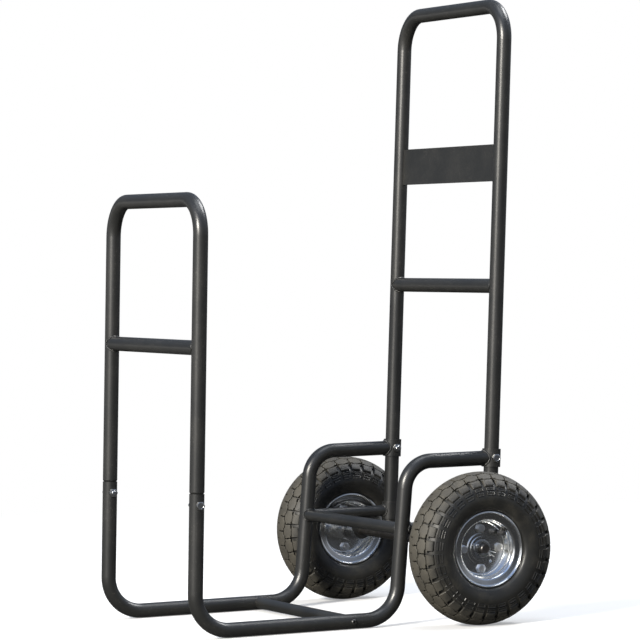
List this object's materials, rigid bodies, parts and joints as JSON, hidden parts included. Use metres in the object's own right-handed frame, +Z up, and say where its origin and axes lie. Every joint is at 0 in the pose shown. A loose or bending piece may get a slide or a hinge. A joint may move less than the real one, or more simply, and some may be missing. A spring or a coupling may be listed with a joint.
{
  "type": "fireside log cart",
  "caption": "Two-wheeled tubular steel log cart with an open cradle, a front hoop, a tall handle and pneumatic wheels on split rims.",
  "frame": {"origin": "on the floor, in the middle of the cart's outer box", "axes": "+Z up, +Y from the front hoop to the handle and wheels, +X to the right-hand side seen from the front"},
  "size_m": [0.6144, 0.6388, 1.0705],
  "materials": {
    "paint": "satin powder coat",
    "zinc": "bright zinc plate",
    "steel": "turned",
    "bearing_steel": "ground",
    "rim": "bright zinc plate",
    "tyre": "matt tread, satin sidewall",
    "tube_rubber": "matt",
    "seal_rubber": "matt",
    "valve_rubber": "satin",
    "plastic": "fine grain"
  },
  "bodies": {
    "frame": {"side_rail_right": "paint", "side_rail_left": "paint", "rear_crossbar": "paint", "floor_crossbar": "paint", "floor_crossbar_plugs": "steel", "floor_crossbar_bolts": "paint", "front_hoop": "paint", "hoop_crossbar": "paint", "hoop_bolts": "zinc", "hoop_nuts": "zinc", "rail_sleeve_right": "paint", "rail_sleeve_left": "paint", "lower_stay_right": "paint", "lower_stay_left": "paint", "stay_sleeve_right": "paint", "stay_sleeve_left": "paint", "axle_lug_right": "paint", "axle_lug_left": "paint", "handle": "paint", "handle_crossbar": "paint", "handle_plate": "paint", "handle_end_caps": "plastic", "handle_bolts": "zinc", "handle_nuts": "zinc", "axle": "steel", "axle_spacers": "zinc", "axle_washers": "zinc", "cotter_pins": "zinc", "bearing_inner_races_right": "bearing_steel", "bearing_inner_races_left": "bearing_steel"},
    "wheel_right": {"tyre_right": "tyre", "inner_tube_right": "tube_rubber", "rim_outer_right": "rim", "rim_inner_right": "rim", "hub_right": "rim", "bearing_outer_races_right": "bearing_steel", "bearing_balls_right": "bearing_steel", "bearing_seals_right": "seal_rubber", "rim_bolts_right": "zinc", "rim_nuts_right": "zinc", "valve_stem_right": "valve_rubber", "valve_cap_right": "plastic"},
    "wheel_left": {"tyre_left": "tyre", "inner_tube_left": "tube_rubber", "rim_outer_left": "rim", "rim_inner_left": "rim", "hub_left": "rim", "bearing_outer_races_left": "bearing_steel", "bearing_balls_left": "bearing_steel", "bearing_seals_left": "seal_rubber", "rim_bolts_left": "zinc", "rim_nuts_left": "zinc", "valve_stem_left": "valve_rubber", "valve_cap_left": "plastic"}
  },
  "joints": [
    {"name": "wheel_spin_right", "type": "hinge", "parent": "frame", "child": "wheel_right", "pos_m": [0.265, 0.18893, 0.1305], "axis": [1, 0, 0], "continuous": true},
    {"name": "wheel_spin_left", "type": "hinge", "parent": "frame", "child": "wheel_left", "pos_m": [-0.265, 0.18893, 0.1305], "axis": [1, 0, 0], "continuous": true}
  ]
}
